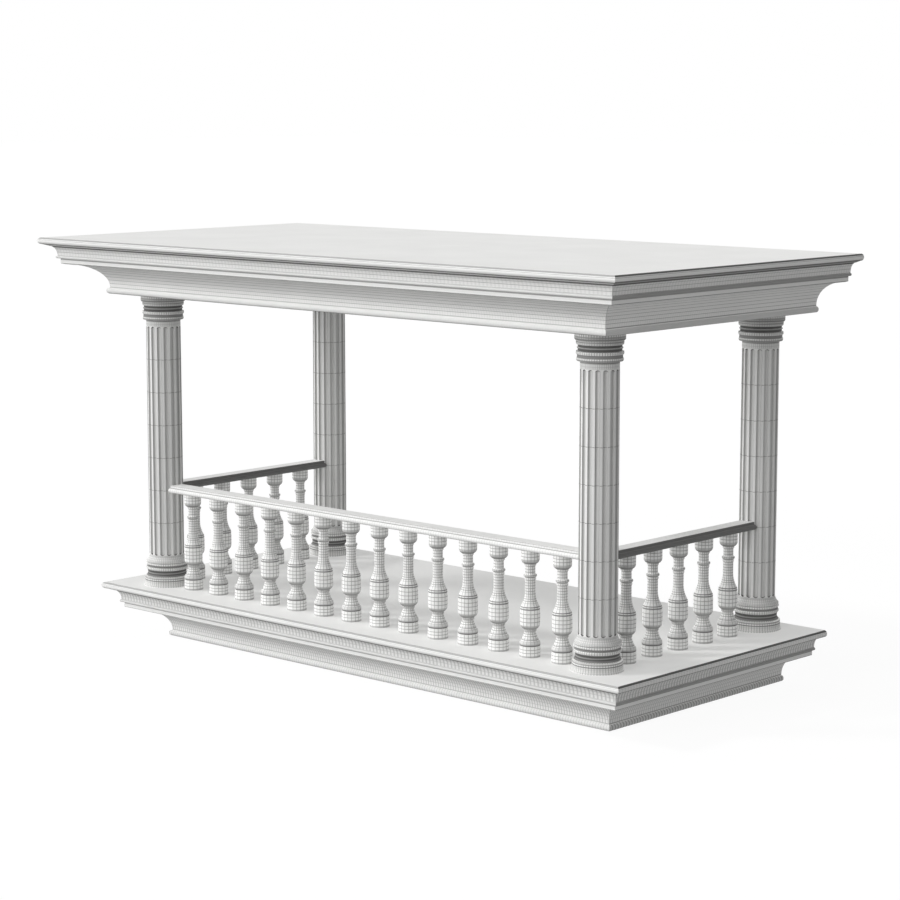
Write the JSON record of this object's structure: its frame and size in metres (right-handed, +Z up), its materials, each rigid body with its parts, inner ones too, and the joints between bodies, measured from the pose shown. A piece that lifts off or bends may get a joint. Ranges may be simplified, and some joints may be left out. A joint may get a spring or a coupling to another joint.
{
  "type": "columned stone balcony with balustrade",
  "caption": "Roofed stone balcony: moulded deck and roof slabs, fluted round columns at the corners, and turned balusters under a moulded handrail on three sides.",
  "frame": {"origin": "centre of the plan's overall box, at ground level under the deck", "axes": "+X along the front to the right, +Y towards the flat wall side, +Z up"},
  "size_m": [6.646, 3.203, 3.668],
  "materials": {
    "slab_stone": "fine-rubbed pale limestone, matt",
    "column_stone": "fine-rubbed pale limestone, matt, darker in the flutes",
    "baluster_stone": "turned pale limestone with fine tooling marks, matt",
    "handrail_stone": "fine-rubbed pale limestone, matt, weathered under the roll"
  },
  "bodies": {
    "root": {"baluster_front_01": "baluster_stone", "baluster_front_02": "baluster_stone", "baluster_front_03": "baluster_stone", "baluster_front_04": "baluster_stone", "baluster_front_05": "baluster_stone", "baluster_front_06": "baluster_stone", "baluster_front_07": "baluster_stone", "baluster_front_08": "baluster_stone", "baluster_front_09": "baluster_stone", "baluster_front_10": "baluster_stone", "baluster_front_11": "baluster_stone", "baluster_front_12": "baluster_stone", "baluster_front_13": "baluster_stone", "baluster_front_14": "baluster_stone", "baluster_left_1": "baluster_stone", "baluster_left_2": "baluster_stone", "baluster_left_3": "baluster_stone", "baluster_left_4": "baluster_stone", "baluster_left_5": "baluster_stone", "baluster_right_1": "baluster_stone", "baluster_right_2": "baluster_stone", "baluster_right_3": "baluster_stone", "baluster_right_4": "baluster_stone", "baluster_right_5": "baluster_stone", "column_base_back_left": "column_stone", "column_base_back_right": "column_stone", "column_base_front_left": "column_stone", "column_base_front_right": "column_stone", "column_capital_back_left": "column_stone", "column_capital_back_right": "column_stone", "column_capital_front_left": "column_stone", "column_capital_front_right": "column_stone", "column_shaft_back_left": "column_stone", "column_shaft_back_right": "column_stone", "column_shaft_front_left": "column_stone", "column_shaft_front_right": "column_stone", "deck_cornice_course": "slab_stone", "deck_cove_course": "slab_stone", "deck_nosing_course": "slab_stone", "handrail_front": "handrail_stone", "handrail_left": "handrail_stone", "handrail_right": "handrail_stone", "roof_cornice_course": "slab_stone", "roof_cove_course": "slab_stone", "roof_nosing_course": "slab_stone"}
  },
  "joints": []
}
